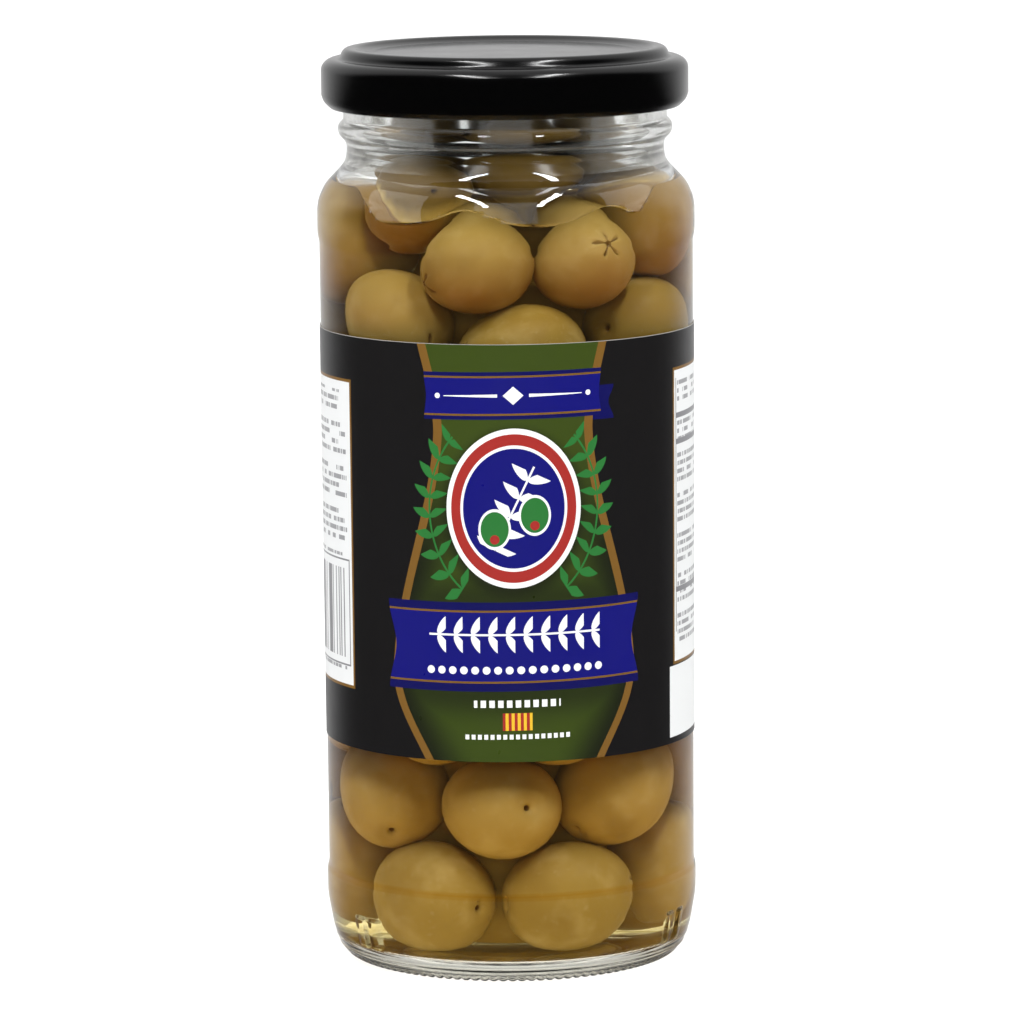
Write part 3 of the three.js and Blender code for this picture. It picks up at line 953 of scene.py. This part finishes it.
# %% The ribbons
def ribbon(paper, across, up, middle, half_width, half_height, notch, line):
    """A blue ribbon with notched ends, navy edges and two gold lines."""
    height = abs(up - middle)
    end = half_width - fade(height, half_height, 0) * notch
    inside = (abs(across) < end) & (height < half_height)
    paper = over(paper, INK["blue"], inside)
    paper = over(paper, INK["navy"], inside & (height > half_height - line))
    return over(paper, INK["gold"], inside & (abs(height - (half_height - line)) < 0.17))


def ribbons(paper, across, up):
    tail = between(across, 13.5, 17.4 - fade(abs(up - 96.6), 2.8, 0) * 1.0) & between(up, 93.8, 99.4)
    paper = over(paper, INK["navy"], tail)
    paper = ribbon(paper, across, up, UPPER_RIBBON, 15.0, 3.9, 0.4, 0.8)
    return ribbon(paper, across, up, LOWER_RIBBON, 22.4, 7.4, 1.5, 1.5)


# %% Leaves in a row
def leaf_row(along, off, pitch, reach):
    """Leaves on both sides of a stem: along it and off it in millimetres."""
    step = along % pitch - pitch / 2
    side = abs(off)
    outward = step * 0.55 + side * 0.83
    across = side * 0.55 - step * 0.83
    leaf = ((outward - reach * 0.55) / (reach * 0.5)) ** 2 + (across / (reach * 0.19)) ** 2
    return (leaf < 1) | (side < 0.17)


# %% White ornaments on the ribbons and the panel
def ornaments(paper, across, up):
    """A lozenge with two tapering lines above, a leafy garland with a row of beads below."""
    lift, side = up - UPPER_RIBBON, abs(across)
    lozenge = (side / 1.7 + abs(lift) / 1.5) < 1
    strokes = (abs(lift) < 0.32 - side * 0.022) & between(side, 2.6, 11.5)
    beads_above = ((side - 12.6) ** 2 + lift**2) < 0.2
    garland = leaf_row(across, up - 58.9, 2.9, 3.6) & (side < 14.5)
    bead_step = across % 1.9 - 0.95
    beads = ((bead_step**2 + (up - 53.0) ** 2) < 0.42) & (side < 15.2)
    return over(paper, INK["white"], lozenge | strokes | beads_above | garland | beads)


# %% [markdown]
# ## The medallion
# An oval medallion with an olive sprig sits in the middle of the panel between two branches of leaves.
# Ovals inside ovals are laid over each other from the largest down, as a printer lays one ink over
# another.

# %% The medallion
def medallion(paper, across, up):
    """An upright oval: white rim, red border, blue field and an olive sprig."""
    lift = up - MEDALLION
    oval = ((across / 11.2) ** 2 + (lift / 13.2) ** 2) ** 0.5
    shadow = ((across / 12.6) ** 2 + ((lift + 0.8) / 14.6) ** 2) ** 0.5
    paper = over(paper, INK["dark_green"], fade(shadow, 1.05, 0.85) * 0.8)
    round_it = across.math("ARCTAN2", lift, abs(across)) * 15
    wreath = leaf_row(round_it, (oval - 1.27) * 12.5, 3.4, 3.9) & between(round_it, -15, 13)
    paper = over(paper, INK["leaf"], wreath)
    for size, ink in ((1.0, "white"), (0.93, "red"), (0.79, "white"), (0.75, "blue")):
        paper = over(paper, INK[ink], oval < size)
    along = lift * 0.9 + across * 0.44
    off = across * 0.9 - lift * 0.44
    paper = over(paper, INK["white"], leaf_row(along, off, 3.3, 4.3) & (abs(along) < 7.6))
    for side, drop in ((-3.2, -3.4), (3.4, -1.2)):
        fruit = ((across - side) / 2.3) ** 2 + ((lift - drop) / 2.9) ** 2
        paper = over(paper, INK["white"], fruit < 1.35)
        paper = over(paper, INK["leaf"], fruit < 1)
        tip = (across - side) ** 2 + (lift - drop + 1.7) ** 2
        paper = over(paper, INK["red"], tip < 0.6)
    return paper


# %% Small marks at the foot of the panel
def small_marks(paper, across, up):
    """A patch with upright red and yellow stripes between two rows of short dashes."""
    patch = (abs(across - 0.3) < 2.45) & (abs(up - 44.4) < 1.45)
    paper = over(paper, INK["red"], patch)
    paper = over(paper, INK["yellow"], patch & (((across - 0.3) % 1.0) < 0.5))
    for row, half, tall, pitch in ((47.4, 7.2, 0.6, 1.45), (41.9, 8.8, 0.4, 1.05)):
        dash = (abs(up - row) < tall) & (abs(across - 0.3) < half) & ((across % pitch) < pitch * 0.62)
        paper = over(paper, INK["white"], dash)
    return paper


# %% [markdown]
# ## The side panels
# White panels with gold edges hold the small print. From a step away small print is only texture, so
# chance decides which short marks of each row are inked.

# %% Small grey marks
def chance(value, seed):
    """A number from 0 to 1 that stays the same over each whole step of the value."""
    step = value.math("FLOOR", value)
    return value.add("ShaderNodeTexWhiteNoise", {"noise_dimensions": "1D"}, {"W": step + seed})


def grey_rows(across, up, pitch, inside, seed):
    """Blocks of four rows of short marks, as small print looks from a step away."""
    row = up / pitch
    stroke = between(row % 1.0, 0.12, 0.66) & ((row / 5 % 1.0) < 0.8)
    words = chance(across * 0.7 + chance(row, seed) * 40, seed) > 0.12
    letters = chance(across * 4 + chance(row, seed) * 90, seed) > 0.18
    return stroke & words & letters & inside


# %% Bars and rules on the side panels
def bar_code(paper, across, from_edge, up):
    """Upright bars of chance widths in a thin frame."""
    bars = between(from_edge, 2.6, 20) & between(up, 53, 68) & (chance(across * 2.6, 5) > 0.5)
    frame_line = between(from_edge, 1.2, 21) & between(up, 51.6, 69.6)
    frame_line = frame_line & ~(between(from_edge, 1.5, 20.7) & between(up, 51.9, 69.3))
    return over(paper, INK["grey"], bars | frame_line)


def table_rules(paper, from_edge, up):
    """Three broad rules across and a thin line down the edge, as on a table."""
    for height in (92.3, 87.9, 63.1):
        paper = over(paper, INK["grey"], between(from_edge, 1.2, 36) & (abs(up - height) < 0.45))
    return over(paper, INK["grey"], between(from_edge, 1.0, 1.25) & between(up, 56, 98.6))


# %% White side panels
PANEL_WIDTH = 38
GOLD_LINE = 0.5


def side_panels(paper, across, up):
    for side, start, low, high, pitch in ((-1, 31.2, 48.0, 99.8, 1.45), (1, 32.2, 50.6, 100.4, 1.35)):
        from_edge = across * side - start
        panel = between(from_edge, 0, PANEL_WIDTH) & between(up, low, high)
        paper = over(paper, INK["gold"], panel)
        inner = between(from_edge, GOLD_LINE, PANEL_WIDTH - GOLD_LINE)
        paper = over(paper, INK["panel"], inner & between(up, low + GOLD_LINE, high - GOLD_LINE))
        text = between(from_edge, 1.6, 36) & between(up, low + 2, high - 2)
        if side < 0:
            text = text & ~(between(from_edge, 0, 22) & between(up, 51.5, 70))
            text = text & (from_edge > 1.6 + chance(up / pitch, 9) * 3.5)
            paper = bar_code(paper, across, from_edge, up)
        else:
            paper = table_rules(paper, from_edge, up)
        paper = over(paper, INK["grey"], grey_rows(across, up, pitch, text, 3 + side) * 0.85)
    stamp = between(across, 31.0, 52) & between(up, 38.4, 50.4)
    return over(paper, INK["panel"], stamp)


# %% Printed paper
def paper_finish():
    material, shader, place = new_finish("printed_paper", Specular_IOR_Level=0.3)
    across, up = paper_axes(place)
    paper = green_panel(INK["black"], across, up)
    paper = ribbons(paper, across, up)
    paper = ornaments(paper, across, up)
    paper = medallion(paper, across, up)
    paper = small_marks(paper, across, up)
    paper = side_panels(paper, across, up)
    height = place.add("ShaderNodeSeparateXYZ", {}, {0: place}, "Z") * 1000
    paper = over(paper, rgb(0.30, 0.29, 0.27), height > LABEL_TOP - 0.1)
    feed(shader, "Base Color", paper)
    feed(shader, "Roughness", 0.25 + noise(place, 300) * 0.1)
    bump(shader, noise(place, 900, 3.0), 0.15, 0.05 * MM)
    return material


label.data.materials.append(paper_finish())
print("label printed with", len(label.data.materials[0].node_tree.nodes), "nodes")

# %% [markdown]
# ## Put the pieces on the model
# Each new piece stands for one of the solids and rides on the model's only body. The brine has no solid
# of its own.

# %% Ride on the body and hide the solids
for piece, node, slot in (
    (jar, "jar", "glass"),
    (lid, "lid", "lid_enamel"),
    (label, "label", "label_paper"),
    (heap, "olives", "olive_flesh"),
):
    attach(piece, "root")
    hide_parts(node)
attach(brine, "root")
print("pieces:", [o.name for o in (jar, lid, label, heap, brine)])

# %% [markdown]
# ## Floor and light
# The photo is a product shot on white. A wide pale floor fills the frame. Two narrow strips above and in
# front give the paired highlights on the shoulder and the lid. A broad light above and behind keeps the
# floor white, and three fills light the olives and the label. The fills and the broad light are hidden
# from reflections, so that only the strips and the bright back wall show in the glass and the enamel.

# %% Floor
FLOOR_RADIUS = 9.0  # metres
bpy.ops.object.select_all(action="DESELECT")
bpy.ops.mesh.primitive_circle_add(vertices=96, radius=FLOOR_RADIUS, fill_type="NGON", location=(0, 0, 0))
floor = bpy.context.object
floor.name = "floor"
floor_material, floor_shader, floor_place = new_finish("pale_floor", Roughness=0.9, Specular_IOR_Level=0.0)
feed(floor_shader, "Base Color", over(rgb(0.93, 0.93, 0.93), rgb(0.90, 0.90, 0.90), noise(floor_place, 3)))
floor.data.materials.append(floor_material)
floor.visible_glossy = False
print("floor radius in metres:", FLOOR_RADIUS)


# %% Lights
def soft_box(name, place, aim, width, height, power):
    """A rectangular lamp at a place in metres that faces a point."""
    bpy.ops.object.light_add(type="AREA", location=place)
    lamp = bpy.context.object
    lamp.name = name
    lamp.rotation_euler = (Vector(place) - Vector(aim)).to_track_quat("Z", "Y").to_euler()
    lamp.data.shape = "RECTANGLE"
    lamp.data.size, lamp.data.size_y = width, height
    lamp.data.energy = power
    return lamp


# %% Two strips, a broad light behind and three fills
RIG_TURN = Matrix.Rotation(math.radians(5), 3, "Z")
STRIP_WATTS = 11.5
for name, side in (("left_strip", -0.405), ("right_strip", 0.405)):
    place = RIG_TURN @ Vector((side, -0.685, 1.23))
    strip = soft_box(name, place, place - Vector((0, 0, 1)), 0.08, 0.96, STRIP_WATTS)
    strip.rotation_euler = RIG_TURN.to_euler()
overhead = soft_box("overhead", (0, 1.9, 2.0), (0, 1.9, 0), 3.0, 3.8, 62)
overhead.visible_glossy = False
for name, place, power in (
    ("front_fill", (0, -2.2, 0.3), 10),
    ("left_fill", (-1.9, -0.4, 0.5), 13),
    ("right_fill", (1.9, 0, 0.5), 11),
):
    fill = soft_box(name, place, (0, 0, 0.08), 1.6, 1.2, power)
    fill.visible_glossy = False


# %% A bright back wall and a dark front
def studio_world():
    world = bpy.data.worlds.new("studio")
    world.use_nodes = True
    way = Wire(world.node_tree.nodes.new("ShaderNodeTexCoord").outputs["Generated"])
    back, up = (way.add("ShaderNodeSeparateXYZ", {}, {0: way}, axis) for axis in "YZ")
    glow = over(rgb(0.02, 0.02, 0.02), rgb(0.78, 0.78, 0.78), fade(back + up * 0.8, 0.25, 0.85))
    world.node_tree.links.new(glow.socket, world.node_tree.nodes["Background"].inputs["Color"])
    return world


bpy.context.scene.world = studio_world()
bpy.context.scene.view_settings.view_transform = "Standard"
print("world:", bpy.context.scene.world.name)

# %% [markdown]
# ## The camera
# The camera stands a metre away with a long lens and looks down a little. Its place and turn were found
# by fitting the edges of the lid, the label and the base to the photo.

# %% Camera
CAMERA_DISTANCE, CAMERA_HEIGHT = 1.0048, 0.2265
LOOK_DOWN, TURN_RIGHT, ROLL = 8.60, 0.033, 0.51
FOCAL_PIXELS, FRAME_PIXELS = 6034, 1024
bpy.ops.object.camera_add()
camera = bpy.context.object
camera.data.sensor_width = 36
camera.data.lens = 36 * FOCAL_PIXELS / FRAME_PIXELS
camera.matrix_world = (
    Matrix.Translation((0, -CAMERA_DISTANCE, CAMERA_HEIGHT))
    @ Matrix.Rotation(math.radians(-TURN_RIGHT), 4, "Z")
    @ Matrix.Rotation(math.radians(90 - LOOK_DOWN), 4, "X")
    @ Matrix.Rotation(math.radians(-ROLL), 4, "Z")
)
bpy.context.scene.camera = camera
print("lens in millimetres:", round(camera.data.lens, 1))
